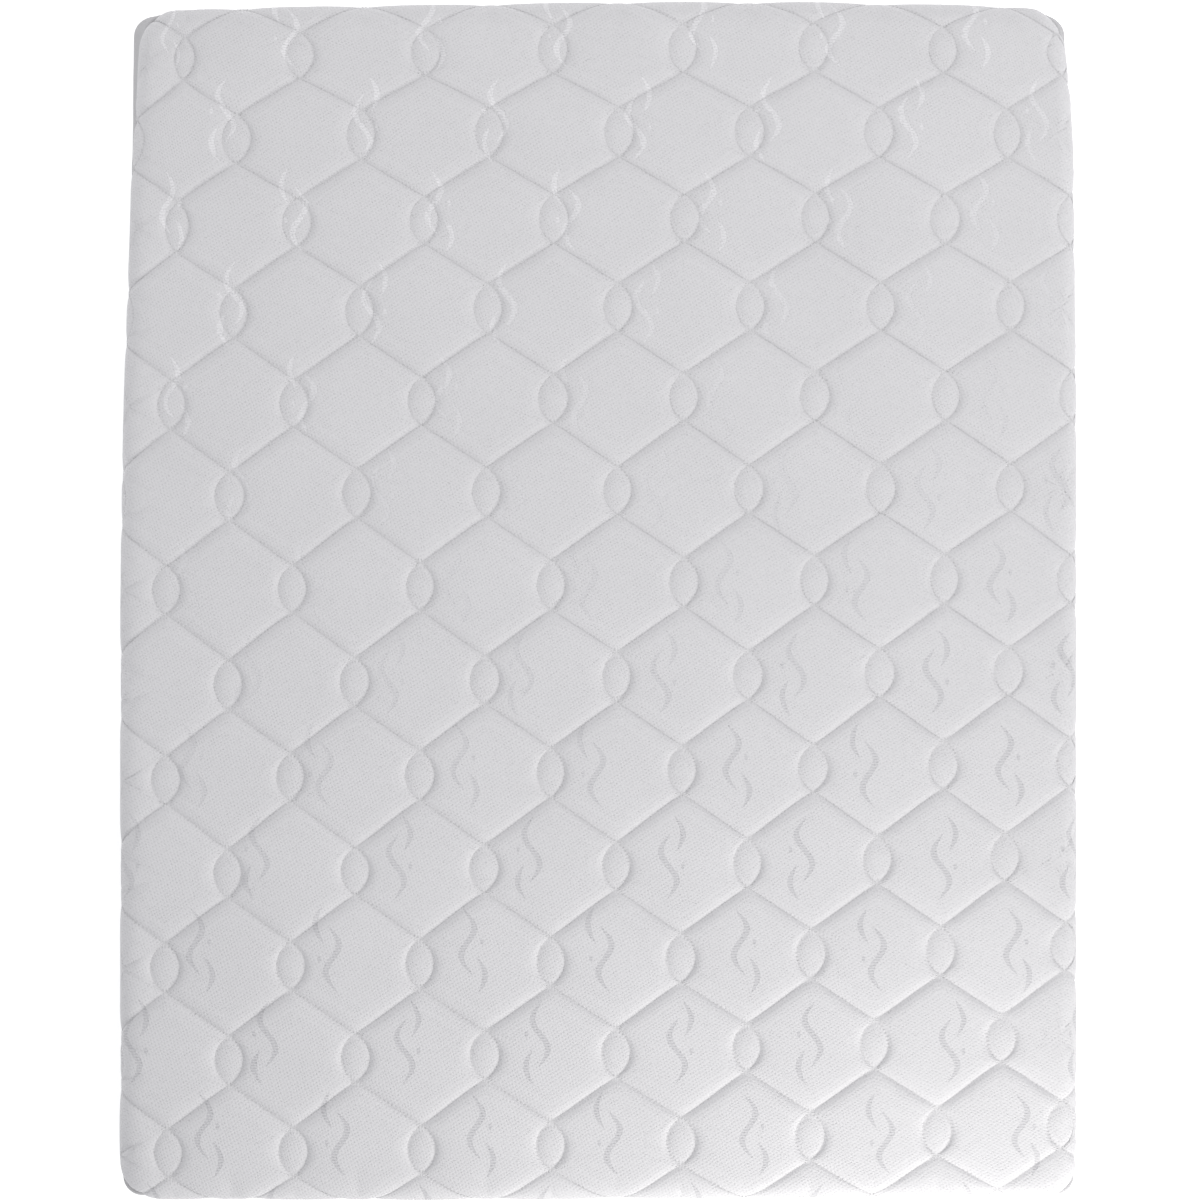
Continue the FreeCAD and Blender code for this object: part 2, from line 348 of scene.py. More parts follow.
def foam_material(name, base, cell=1.6, hole=0.5, mottled=0.04):
    """Open-cell foam: a random cell structure with pits."""
    g = Graph(name)
    p = g.node("ShaderNodeVectorMath", operation="SCALE")
    g.put(p.inputs[0], g.obj())
    p.inputs["Scale"].default_value = 1000.0
    p = p.outputs[0]
    cells = g.voronoi(p, 1.0 / cell)
    walls = g.smooth(cells, 0.15, 0.75)
    pores = g.smooth(g.voronoi(p, 1.0 / (cell * 3.4)), hole * 0.25, hole * 0.62)
    cut = g.noise(p, 0.025, 3.0, 0.6)
    h = g.add(g.mul(walls, -0.5), g.mul(pores, 1.0))
    # painted shade: the colour is darker in the pores and along the cell walls, where the bump sinks
    tone = g.add(g.remap(g.noise(p, 0.012, 3.0, 0.6), 0.3, 0.7, 1.0 - mottled, 1.0 + mottled),
                 g.mul(g.sub(pores, 1.0), 0.18))
    tone = g.sub(tone, g.mul(walls, 0.05))
    c = g.node("ShaderNodeVectorMath", operation="SCALE")
    g.put(c.inputs[0], rgb(*base)[:3])
    g.put(c.inputs["Scale"], tone)
    n = g.bump(h, 0.0006, 0.9)
    n = g.bump(cut, 0.004, 0.6, n)
    return g.surface(c.outputs[0], 0.92, n, sheen=0.05, spec=0.2)


def fluff_material(name, base):
    g = Graph(name)
    p = g.node("ShaderNodeVectorMath", operation="SCALE")
    g.put(p.inputs[0], g.obj())
    p.inputs["Scale"].default_value = 1000.0
    p = p.outputs[0]
    f = g.noise(p, 0.35, 6.0, 0.75)
    t = g.remap(f, 0.3, 0.7, 0.92, 1.04)
    c = g.node("ShaderNodeVectorMath", operation="SCALE")
    g.put(c.inputs[0], rgb(*base)[:3])
    g.put(c.inputs["Scale"], t)
    return g.surface(c.outputs[0], 0.95, g.bump(f, 0.002, 0.8), sheen=0.2, spec=0.15)


def metal_material(name, base=(0.62, 0.62, 0.63)):
    g = Graph(name)
    p = g.node("ShaderNodeVectorMath", operation="SCALE")
    g.put(p.inputs[0], g.obj())
    p.inputs["Scale"].default_value = 1000.0
    p = p.outputs[0]
    xyz = g.split(p)
    brushed = g.noise(g.combine(g.mul(xyz[0], 0.6), g.mul(xyz[1], 3.0), g.mul(xyz[2], 9.0)), 1.0, 3.0, 0.6)
    wear = g.noise(p, 0.35, 4.0, 0.6)
    rough = g.add(g.remap(brushed, 0.3, 0.7, 0.24, 0.36), g.remap(wear, 0.4, 0.7, 0.0, 0.12))
    t = g.remap(wear, 0.35, 0.7, 1.04, 0.86)
    c = g.node("ShaderNodeVectorMath", operation="SCALE")
    g.put(c.inputs[0], rgb(*base)[:3])
    g.put(c.inputs["Scale"], t)
    return g.surface(c.outputs[0], rough, g.bump(brushed, 0.00008, 0.6), metallic=1.0)


def nylon_material(name, base=(0.62, 0.62, 0.64)):
    g = Graph(name)
    p = g.node("ShaderNodeVectorMath", operation="SCALE")
    g.put(p.inputs[0], g.obj())
    p.inputs["Scale"].default_value = 1000.0
    p = p.outputs[0]
    f = g.noise(p, 0.8, 3.0, 0.6)
    t = g.remap(f, 0.3, 0.7, 0.93, 1.05)
    c = g.node("ShaderNodeVectorMath", operation="SCALE")
    g.put(c.inputs[0], rgb(*base)[:3])
    g.put(c.inputs["Scale"], t)
    return g.surface(c.outputs[0], g.remap(f, 0.3, 0.7, 0.32, 0.5), g.bump(f, 0.0001, 0.5), spec=0.5)


def thread_material(name, base=(0.70, 0.70, 0.71)):
    g = Graph(name)
    p = g.split(g.obj())
    a = g.mul(g.add(g.add(p[0], p[1]), p[2]), 1000.0 * 2 * math.pi / 0.55)
    tw = g.math("SINE", a)
    # painted shade: the colour is darker in the grooves of the twist
    t = g.remap(tw, -1, 1, 0.86, 1.04)
    c = g.node("ShaderNodeVectorMath", operation="SCALE")
    g.put(c.inputs[0], rgb(*base)[:3])
    g.put(c.inputs["Scale"], t)
    return g.surface(c.outputs[0], 0.6, g.bump(tw, 0.00008, 0.6), sheen=0.1, spec=0.4)


MAT = {
    "ticking": ticking_material("ticking_knit"),
    # painted shade: the side border is the same knit as the top, given a darker base colour to offset the strong
    # light on the sides
    "border": ticking_material("border_knit_painted_shade", figured=False, seam=False, base=(0.50, 0.495, 0.508)),
    "wadding": fluff_material("wadding_fibre", (0.86, 0.86, 0.85)),
    "backing": cloth_material("backing_nonwoven", (0.74, 0.74, 0.74), 2.2),
    "lining": cloth_material("lining_nonwoven", (0.72, 0.72, 0.72), 2.0),
    "under": cloth_material("under_cloth_knit", (0.47, 0.47, 0.485), 1.6),
    "binding": cloth_material("binding_tape", (0.66, 0.66, 0.675), 1.3, twill=True),
    "tape": cloth_material("zip_tape_weave", (0.50, 0.50, 0.52), 1.1, twill=True),
    "coil": nylon_material("zip_coil_nylon"),
    "metal": metal_material("zip_nickel"),
    "thread": thread_material("quilting_thread"),
    "memory": foam_material("memory_foam", (0.63, 0.585, 0.465), 1.3, 0.45, 0.03),
    "transition": foam_material("transition_foam", (0.36, 0.47, 0.56), 1.6, 0.5, 0.04),
    "support": foam_material("support_foam", (0.55, 0.55, 0.515), 2.2, 0.55, 0.05),
}

floor_graph = Graph("floor_white")
fp = floor_graph.obj()
ff = floor_graph.noise(fp, 3.0, 2.0, 0.5)
fc = floor_graph.mix(floor_graph.remap(ff, 0.3, 0.7, 0.0, 1.0), rgb(0.93, 0.93, 0.93), rgb(0.95, 0.95, 0.95))
floor_p = floor_graph.node("ShaderNodeBsdfPrincipled")
floor_graph.put(floor_p.inputs["Base Color"], fc)
floor_p.inputs["Roughness"].default_value = 0.9
floor_p.inputs["Specular IOR Level"].default_value = 0.1
floor_p.inputs["Emission Color"].default_value = (1, 1, 1, 1)
floor_p.inputs["Emission Strength"].default_value = 0.42
floor_graph.nt.links.new(floor_p.outputs[0], floor_graph.out.inputs["Surface"])


# ===========================================================================
# mesh helpers. Working arrays are in millimetres
# ===========================================================================
def make_mesh(name, verts, faces, mats, face_mat=None, smooth=True):
    assert np.isfinite(np.asarray(verts, float)).all(), name
    me = bpy.data.meshes.new(name)
    me.from_pydata((np.asarray(verts, float) * MM).tolist(), [], [tuple(int(i) for i in f) for f in faces])
    for m in (mats if isinstance(mats, (list, tuple)) else [mats]):
        me.materials.append(m)
    if face_mat is not None:
        me.polygons.foreach_set("material_index", np.asarray(face_mat, np.int32))
    me.polygons.foreach_set("use_smooth", np.full(len(me.polygons), smooth))
    me.update()
    o = bpy.data.objects.new(name, me)
    scene.collection.objects.link(o)
    return o


def coords(o):
    co = np.zeros(len(o.data.vertices) * 3, np.float32)
    o.data.vertices.foreach_get("co", co)
    return co.reshape(-1, 3).astype(float) / MM


def set_coords(o, co):
    o.data.vertices.foreach_set("co", (np.asarray(co) * MM).astype(np.float32).ravel())
    o.data.update()


def normals_of(o):
    n = np.zeros(len(o.data.vertices) * 3, np.float32)
    o.data.vertex_normals.foreach_get("vector", n)
    return n.reshape(-1, 3).astype(float)


def applied(o):
    """Replaces o's mesh by its evaluated one, and drops its modifiers."""
    dg = bpy.context.evaluated_depsgraph_get()
    me = bpy.data.meshes.new_from_object(o.evaluated_get(dg), preserve_all_data_layers=True, depsgraph=dg)
    old = o.data
    o.modifiers.clear()
    o.data = me
    name = old.name
    bpy.data.meshes.remove(old)
    me.name = name
    return o


def waves(p, q, scale, seed, n=9):
    """Smooth deterministic noise of two coordinates, roughly within -1..1."""
    r = np.random.default_rng(seed)
    out = np.zeros(np.broadcast(p, q).shape)
    for i in range(n):
        a = r.uniform(0, 2 * math.pi)
        k = 2 * math.pi / scale * r.uniform(0.55, 1.6)
        out = out + np.sin(k * (math.cos(a) * p + math.sin(a) * q) + r.uniform(0, 6.28)) / n * 1.7
    return out


def smoothstep(x):
    x = np.clip(x, 0, 1)
    return x * x * (3 - 2 * x)


# ===========================================================================
# the panel's base surface: flat top, rounded edge, short skirt down to the seam
# ===========================================================================
FLAT_X, FLAT_Y, FLAT_R = 765.0, 965.0, 30.0
EDGE_R = 29.0
TOP_Z = 213.5
SEAM_Z = 170.0
SKIRT = TOP_Z - EDGE_R - SEAM_Z
T_MAX = EDGE_R * math.pi / 2 + SKIRT
OUT_X, OUT_Y, OUT_R = FLAT_X + T_MAX, FLAT_Y + T_MAX, FLAT_R + T_MAX


def inset_of(x, y):
    """How far the real outline lies inside the plain rectangle: the cover is a little
    pulled in towards the head end. Millimetres, for the four sides."""
    left = np.interp(y, [-1000, -850, 0, 165, 333, 500, 667, 751, 834, 901, 1000],
                     [2, 0, 0, 2, 5, 12, 17, 21, 27, 30, 37])
    right = np.interp(y, [-1000, -750, -333, 0, 333, 500, 667, 751, 834, 901, 1000],
                      [1, 0, 0, 0, 0, 2, 4, 5, 10, 16, 26])
    top = np.interp(x, [-800, -731, -664, -497, -331, -100, 0, 336, 586, 669, 736, 800],
                    [17, 14, 12, 8, 6, 3, 1, 1, 5, 7, 11, 18])
    bottom = np.interp(x, [-800, -300, 0, 800], [2, 0, 2, 4])
    return left, right, top, bottom


def settle(P):
    """Draws the outer edge of the cover in by inset_of, fading towards the middle and
    towards the zip."""
    P = P.copy()
    x, y, z = P[:, 0].copy(), P[:, 1].copy(), P[:, 2]
    left, right, top, bottom = inset_of(x, y)
    wz = smoothstep((z - 40.0) / 118.0)
    wl = smoothstep((-x - 640.0) / 150.0) * wz
    wr = smoothstep((x - 640.0) / 150.0) * wz
    wt = smoothstep((y - 850.0) / 140.0) * wz
    wb = smoothstep((-y - 850.0) / 140.0) * wz
    P[:, 0] += left * wl - right * wr
    P[:, 1] += bottom * wb - top * wt
    return P


def base_map(u, v):
    """Developed point (u, v) to its place on the base surface and the normal there."""
    ix, iy = FLAT_X - FLAT_R, FLAT_Y - FLAT_R
    cx, cy = np.clip(u, -ix, ix), np.clip(v, -iy, iy)
    dx, dy = u - cx, v - cy
    dist = np.hypot(dx, dy)
    safe = np.maximum(dist, 1e-9)
    nx, ny = dx / safe, dy / safe
    t = np.maximum(dist - FLAT_R, 0.0)
    ang = np.minimum(t / EDGE_R, math.pi / 2)
    drop = np.maximum(t - EDGE_R * math.pi / 2, 0.0)
    rad = np.minimum(dist, FLAT_R) + EDGE_R * np.sin(ang)
    P = np.stack([cx + nx * rad, cy + ny * rad,
                  TOP_Z - EDGE_R * (1 - np.cos(ang)) - drop], 1)
    N = np.stack([nx * np.sin(ang), ny * np.sin(ang), np.cos(ang)], 1)
    return P, N, t


def outline_sd(u, v):
    """Signed distance to the developed outline, negative inside."""
    qx = np.abs(u) - (OUT_X - OUT_R)
    qy = np.abs(v) - (OUT_Y - OUT_R)
    return np.hypot(np.maximum(qx, 0), np.maximum(qy, 0)) + np.minimum(np.maximum(qx, qy), 0) - OUT_R


def rr_outline(hx, hy, radii, step_side, n_corner):
    """Points, outward normals and run length of a rounded rectangle, anticlockwise from the
    middle of the right side. radii: head right, head left, foot left, foot right."""
    pts, nor = [], []

    def line(a, b, n):
        L = math.hypot(b[0] - a[0], b[1] - a[1])
        k = max(1, int(round(L / step_side)))
        for i in range(k):
            f = i / k
            pts.append((a[0] + (b[0] - a[0]) * f, a[1] + (b[1] - a[1]) * f))
            nor.append(n)

    def arc(cx, cy, r, a0):
        for i in range(n_corner):
            a = a0 + (math.pi / 2) * i / n_corner
            pts.append((cx + r * math.cos(a), cy + r * math.sin(a)))
            nor.append((math.cos(a), math.sin(a)))

    r1, r2, r3, r4 = radii
    line((hx, 0), (hx, hy - r1), (1, 0))
    arc(hx - r1, hy - r1, r1, 0)
    line((hx - r1, hy), (-hx + r2, hy), (0, 1))
    arc(-hx + r2, hy - r2, r2, math.pi / 2)
    line((-hx, hy - r2), (-hx, -hy + r3), (-1, 0))
    arc(-hx + r3, -hy + r3, r3, math.pi)
    line((-hx + r3, -hy), (hx - r4, -hy), (0, -1))
    arc(hx - r4, -hy + r4, r4, 1.5 * math.pi)
    line((hx, -hy + r4), (hx, 0), (1, 0))
    P, N = np.array(pts, float), np.array(nor, float)
    seg = np.hypot(*(np.roll(P, -1, 0) - P).T)
    run = np.concatenate([[0], np.cumsum(seg)[:-1]])
    return P, N, run, float(seg.sum())


# ===========================================================================
# the quilting: staggered pointed ovals joined by slanting lines
# ===========================================================================
LENS_A, LENS_B = 24.6, 40.5       # half width and half height of an oval
CUBIC = [(0, 0), (0, 1), (0, 2), (0, 3), (1, 0), (1, 1), (1, 2), (2, 0), (2, 1), (3, 0)]
LAY_X = [0.9877 * c for c in (-12.29, -5.85, 0.41, 4.1, 771.72, 1.44, -14.0, 6.54, -6.52, -13.88)]
LAY_Y = [0.9877 * c for c in (28.66, -1019.51, -24.05, 29.82, 10.82, 9.23, 4.43, -2.11, 8.89, -0.1)]
STITCH = 6.7


def lens_centre(j, k):
    a, b = (j - 3.3) / 3.5, (k - 6.0) / 6.5
    x = sum(c * a ** m * b ** n for c, (m, n) in zip(LAY_X, CUBIC))
    y = sum(c * a ** m * b ** n for c, (m, n) in zip(LAY_Y, CUBIC))
    return np.array([x, y])


_lens = {}


def lens(j, k):
    """Centre, top tip, bottom tip and axes of oval j in row k."""
    key = (round(2 * j), k)
    if key not in _lens:
        c = lens_centre(j, k)
        up = lens_centre(j, k - 1) - lens_centre(j, k + 1)
        up = up / np.hypot(*up)
        side = np.array([up[1], -up[0]])
        r = np.random.default_rng(1000 + 37 * (k + 5) + int(round(2 * j)) + 50)
        a = LENS_A * (1 + r.uniform(-0.04, 0.04))
        b = LENS_B * (1 + r.uniform(-0.025, 0.025))
        c = c + r.uniform(-1.2, 1.2, 2)
        _lens[key] = (c, c + up * b, c - up * b, up, side, a, b)
    return _lens[key]


N_ARC, N_DIAG = 6, 6
_curves = {}


def curve_arc(j, k, side):
    """Side of an oval from its top tip to its bottom tip. side +1 right, -1 left."""
    key = ("a", round(2 * j), k, side)
    if key not in _curves:
        c, top, bot, up, sd, a, b = lens(j, k)
        R = (a * a + b * b) / (2 * a)
        phi = math.asin(b / R)
        ang = np.linspace(phi, -phi, N_ARC + 1)
        x = R * np.cos(ang) - (R - a)
        y = R * np.sin(ang)
        pts = c + np.outer(y, up) + np.outer(side * x, sd)
        n = max(4, int(round(2 * phi * R / STITCH)))
        _curves[key] = (pts, np.linspace(0, n, N_ARC + 1), n)
    return _curves[key]


def curve_diag(j, k, side):
    """Slanting line from the bottom tip of oval (j, k) to the top tip of (j + side/2, k + 1)."""
    key = ("d", round(2 * j), k, side)
    if key not in _curves:
        c0, t0, b0, up0, sd0, a0, h0 = lens(j, k)
        c1, t1, b1, up1, sd1, a1, h1 = lens(j + 0.5 * side, k + 1)
        L = np.hypot(*(t1 - b0))

        def tangent(up, sd, a, b):
            R = (a * a + b * b) / (2 * a)
            phi = math.asin(b / R)
            return (sd * side * math.sin(phi) - up * math.cos(phi)) * L * 0.6

        m0, m1 = tangent(up0, sd0, a0, h0), tangent(up1, sd1, a1, h1)
        s = np.linspace(0, 1, N_DIAG + 1)[:, None]
        pts = ((2 * s**3 - 3 * s**2 + 1) * b0 + (s**3 - 2 * s**2 + s) * m0
               + (-2 * s**3 + 3 * s**2) * t1 + (s**3 - s**2) * m1)
        n = max(6, int(round(L / STITCH)))
        _curves[key] = (pts, np.linspace(0, n, N_DIAG + 1), n)
    return _curves[key]


def cell_hex(j, k):
    """Boundary of the hexagon whose left oval is (j, k): segments as (curve key, reversed)."""
    return [
        (("d", j + 0.5, k - 1, 1), False),   # top vertex down right to the right oval's top
        (("a", j + 1, k, -1), False),        # down the right oval's left side
        (("d", j + 1, k, -1), False),        # down left to the bottom vertex
        (("d", j, k, 1), True),              # up left to the left oval's bottom tip
        (("a", j, k, 1), True),              # up the left oval's right side
        (("d", j + 0.5, k - 1, -1), True),   # up right to the top vertex
    ]


def cell_lens(j, k):
    return [(("a", j, k, 1), False), (("a", j, k, -1), True)]


def get_curve(key):
    kind, j, k, side = key
    return curve_arc(j, k, side) if kind == "a" else curve_diag(j, k, side)


def row_js(k):
    return [j + (0.5 if k % 2 else 0.0) for j in range(-2, 9)]


OUTLINE_DENSE = rr_outline(OUT_X, OUT_Y, (OUT_R,) * 4, 0.5, 400)
OUTLINE_COARSE = rr_outline(OUT_X, OUT_Y, (OUT_R,) * 4, 11.0, 12)


def outline_param(p):
    P, N, run, total = OUTLINE_DENSE
    i = int(np.argmin(np.hypot(P[:, 0] - p[0], P[:, 1] - p[1])))
    return run[i]


def crossing(p, q):
    """Point where segment pq meets the developed outline."""
    a, b = 0.0, 1.0
    fa = outline_sd(p[0], p[1])
    for _ in range(40):
        m = 0.5 * (a + b)
        f = outline_sd(*(p + (q - p) * m))
        if (f < 0) == (fa < 0):
            a = m
        else:
            b = m
    return p + (q - p) * 0.5 * (a + b), 0.5 * (a + b)


def boundary_of(cell):
    """Closed clockwise ring of a cell, cut by the outline. Returns points, for each segment
    its two stitch values and kind ('a', 'd' or 'o'), or None if it lies outside."""
    pts, seg = [], []
    for key, rev in cell:
        P, S, n = get_curve(key)
        if rev:
            P, S = P[::-1], S[::-1]
        for i in range(len(P) - 1):
            pts.append(P[i])
            seg.append((S[i], S[i + 1], key[0]))
    pts = np.array(pts)
    sd = outline_sd(pts[:, 0], pts[:, 1])
    inside = sd < -1e-6
    if not inside.any():
        return None
    if inside.all():
        return pts, seg
    n = len(pts)
    start = next(i for i in range(n) if inside[i] and not inside[i - 1])
    out_p, out_s = [], []
    # walk from the entry just before start
    order = [(start + i) % n for i in range(n)]
    prev = (start - 1) % n
    entry, f = crossing(pts[prev], pts[start])
    s0, s1, kd = seg[prev]
    first_entry = entry
    out_p.append(entry)
    out_s.append((s0 + (s1 - s0) * f, s1, kd))
    i = 0
    while i < n:
        a = order[i]
        b = (a + 1) % n
        if inside[a]:
            if inside[b]:
                out_p.append(pts[a])
                out_s.append(seg[a])
                i += 1
            else:
                e, f = crossing(pts[a], pts[b])
                s0, s1, kd = seg[a]
                out_p.append(pts[a])
                out_s.append((s0, s0 + (s1 - s0) * f, kd))
                # find the next entry
                c = b
                steps = 1
                while not inside[(c + 1) % n]:
                    c = (c + 1) % n
                    steps += 1
                nxt = (c + 1) % n
                en, fe = crossing(pts[c], pts[nxt])
                last = (i + 1 + steps) >= n
                # clockwise cell: the outline is walked clockwise too
                Pc, Nc, rc, tot = OUTLINE_COARSE
                pe, pn = outline_param(e), outline_param(en)
                span = (pe - pn) % tot
                if span > 0.5 * tot:
                    span = 0.0
                mids = []
                for q, r in zip(Pc, rc):
                    w = (pe - r) % tot
                    if 2.5 < w < span - 2.5:
                        mids.append((w, q))
                mids.sort(key=lambda m: m[0])
                out_p.append(e)
                out_s.append((0.0, 0.0, "o"))
                for w, q in mids:
                    out_p.append(q)
                    out_s.append((0.0, 0.0, "o"))
                if not last:
                    s0, s1, kd = seg[c]
                    out_p.append(en)
                    out_s.append((s0 + (s1 - s0) * fe, s1, kd))
                i += 1 + steps
        else:
            i += 1
    # drop points that fall on each other
    P = np.array(out_p)
    keep = [m for m in range(len(P)) if np.hypot(*(P[(m + 1) % len(P)] - P[m])) > 1e-3]
    return P[keep], [out_s[m] for m in keep]


def seg_dist(p, a, b):
    """Distances of points p (n,2) to segments a-b (m,2): n x m."""
    ab = b - a
    L2 = np.maximum((ab**2).sum(1), 1e-12)
    t = np.clip(((p[:, None, :] - a[None]) * ab[None]).sum(2) / L2[None], 0, 1)
    q = a[None] + t[..., None] * ab[None]
    return np.hypot(*(p[:, None, :] - q).transpose(2, 0, 1))


def star_centre(P):
    """A point that sees the whole ring P, as central as possible."""
    area = 0.5 * np.sum(P[:, 0] * np.roll(P[:, 1], -1) - np.roll(P[:, 0], -1) * P[:, 1])
    Q = np.roll(P, -1, 0)
    cr = P[:, 0] * Q[:, 1] - Q[:, 0] * P[:, 1]
    cen = np.array([np.sum((P[:, 0] + Q[:, 0]) * cr), np.sum((P[:, 1] + Q[:, 1]) * cr)]) / (6 * area)
    d = (Q - P) / np.maximum(np.hypot(*(Q - P).T), 1e-9)[:, None]
    sgn = 1.0 if area > 0 else -1.0

    def worst(c):
        w = c[None] - P
        return (sgn * (d[:, 0] * w[:, 1] - d[:, 1] * w[:, 0])).min()

    best, score = cen, worst(cen)
    if score < 6.0:
        lo, hi = P.min(0), P.max(0)
        for gx in np.linspace(lo[0], hi[0], 17)[1:-1]:
            for gy in np.linspace(lo[1], hi[1], 17)[1:-1]:
                c = np.array([gx, gy])
                s = worst(c)
                if s > score + 1e-6:
                    best, score = c, s
    return best, score, abs(area)


CENTRES = []
PROFILE = {"a": 8.0, "d": 8.5, "o": 13.0}     # how quickly the fill rises from each line
HEX_H, LENS_H = 6.4, 5.2
RINGS_HEX = (0.0, 4.0, 10.5, 24.0, 52.0)
RINGS_LENS = (0.0, 5.5)


def build_panel():
    """Coarse quilted panel. Returns arrays for the mesh."""
    V, VD, VB, key_of = [], [], [], {}
    faces, fuv, creases = [], [], set()

    def vert(p, d, b, shared):
        if shared:
            key = (round(p[0] * 200), round(p[1] * 200))
            for dx in (0, -1, 1):
                for dy in (0, -1, 1):
                    kk = (key[0] + dx, key[1] + dy)
                    if kk in key_of:
                        return key_of[kk]
            key_of[key] = len(V)
        V.append(p)
        VD.append(d)
        VB.append(b)
        return len(V) - 1

    cells = []
    for k in range(-2, 16):
        for j in row_js(k):
            cells.append((cell_hex(j, k), HEX_H, RINGS_HEX, 90.0, k, j, "h"))
            cells.append((cell_lens(j, k), LENS_H, RINGS_LENS, LENS_A, k, j, "l"))
    for cell, height, rings, reach, k, j, tag in cells:
        got = boundary_of(cell)
        if got is None:
            continue
        P, seg = got
        n = len(P)
        if n < 3:
            continue
        C, score, area = star_centre(P)
        if area < 4.0:
            continue
        nxt = np.roll(P, -1, 0)
        kinds = np.array([s[2] for s in seg])
        r = np.random.default_rng(5000 + 97 * (k + 5) + int(round(2 * j)) * 3 + (1 if tag == "h" else 0))
        hc = height * (1 + r.uniform(-0.06, 0.06))
        ring_ids, ring_pts, ring_d = [], [], []
        for q, dd in enumerate(rings):
            f = dd / reach
            R = C + (1 - f) * (P - C)
            if q == 0:
                dist = np.zeros(n)
                hh = np.zeros(n)
            else:
                D = seg_dist(R, P, nxt)
                hh = np.ones(n)
                stitched = np.full(n, 99.0)
                for kd in ("a", "d", "o"):
                    sel = kinds == kd
                    if not sel.any():
                        continue
                    # each run of the same kind counts once
                    idx = np.where(sel)[0]
                    runs = np.split(idx, np.where(np.diff(idx) > 1)[0] + 1)
                    if kd == "a" and len(runs) == 1 and len(runs[0]) > N_ARC:
                        runs = [runs[0][:N_ARC], runs[0][N_ARC:]]
                    if kd == "d":
                        split = []
                        for rr in runs:
                            while len(rr) > N_DIAG:
                                split.append(rr[:N_DIAG])
                                rr = rr[N_DIAG:]
                            split.append(rr)
                        runs = split
                    for rr in runs:
                        if len(rr) == 0:
                            continue
                        dmin = D[:, rr].min(1)
                        lam = PROFILE[kd] * (0.82 if tag == "l" else 1.0)
                        hh = hh * (1 - np.exp(-(np.maximum(dmin, 0.0) / lam) ** 0.85))
                        if kd != "o":
                            stitched = np.minimum(stitched, dmin)
                dist = stitched
            ids = [vert(R[i], hh[i] * hc, q == 0, q == 0) for i in range(n)]
            ring_ids.append(ids)
            ring_d.append(dist)
        Dc = seg_dist(C[None], P, nxt)
        hcentre = 1.0
        for kd in ("a", "d", "o"):
            sel = kinds == kd
            if sel.any():
                hcentre *= (1 - math.exp(-(float(Dc[0, sel].min()) / PROFILE[kd]) ** 0.85))
        cid = vert(C, hcentre * hc, False, False)
        if tag == "h" and area > 12000:
            CENTRES.append(C)
        dc = float(Dc[0, kinds != "o"].min()) if (kinds != "o").any() else 99.0
        # the ring runs clockwise, so faces are turned to look up
        for i in range(n):
            i2 = (i + 1) % n
            s0, s1, kd = seg[i]
            if kd != "o":
                a, b = ring_ids[0][i], ring_ids[0][i2]
                creases.add((min(a, b), max(a, b)))
            far = 99.0 if kd == "o" else None
            for q in range(len(rings) - 1):
                d0, d1 = ring_d[q], ring_d[q + 1]
                A, B = ring_ids[q][i], ring_ids[q][i2]
                Cc, Dd = ring_ids[q + 1][i2], ring_ids[q + 1][i]
                faces.append((A, Dd, Cc, B))
                if far:
                    fuv.append(((0, far), (0, far), (0, far), (0, far)))
                else:
                    fuv.append(((s0, d0[i]), (s0, d1[i]), (s1, d1[i2]), (s1, d0[i2])))
            A, B = ring_ids[-1][i], ring_ids[-1][i2]
            faces.append((A, cid, B))
            dl = ring_d[-1]
            if far:
                fuv.append(((0, far), (0, far), (0, far)))
            else:
                fuv.append(((s0, dl[i]), (0.5 * (s0 + s1), dc), (s1, dl[i2])))
    return np.array(V), np.array(VD), np.array(VB), faces, fuv, creases


def panel_place(U, H):
    """Developed points with their pillow height to places in space."""
    P, N, t = base_map(U[:, 0], U[:, 1])
    sd = np.maximum(-outline_sd(U[:, 0], U[:, 1]), 0.0)
    # the fill thins towards the skirt, and the seam is drawn in
    fade = 1 - 0.30 * smoothstep(t / T_MAX)
    draw = -8.0 * np.exp(-(sd / 9.0) ** 1.2)
    low = waves(U[:, 0], U[:, 1], 520.0, 3) * 1.2
    crown = 2.0 * (1 - (U[:, 0] / 830) ** 2) * (1 - (U[:, 1] / 1030) ** 2)
    off = H * fade + draw
    Q = P + N * off[:, None]
    Q[:, 2] += (low + crown) * smoothstep(sd / 120.0)
    return Q, N


# ---------------------------------------------------------------- make it
U, H, PIN, FACES, FUV, CREASES = build_panel()
U = np.asarray(U)
POS, NRM = panel_place(U, H)
panel = make_mesh("quilt_ticking_cloth", POS, FACES, [MAT["ticking"]])
me = panel.data
at = me.attributes.new("dev", "FLOAT_VECTOR", "POINT")
at.data.foreach_set("vector", np.column_stack([U * MM, np.zeros(len(U))]).astype(np.float32).ravel())
uvl = me.uv_layers.new(name="seam")
flat_uv = np.array([c for f in FUV for c in f], np.float32) * np.array([0.01, 0.01], np.float32)
uvl.data.foreach_set("uv", flat_uv.ravel())
cre = me.attributes.new("crease_edge", "FLOAT", "EDGE")
ev = np.zeros(len(me.edges) * 2, np.int32)
me.edges.foreach_get("vertices", ev)
ev = np.sort(ev.reshape(-1, 2), 1)
cr = np.array([1.0 if (int(a), int(b)) in CREASES else 0.0 for a, b in ev], np.float32)
cre.data.foreach_set("value", cr)
print("panel coarse verts", len(U), "faces", len(FACES), "creases", int(cr.sum()))


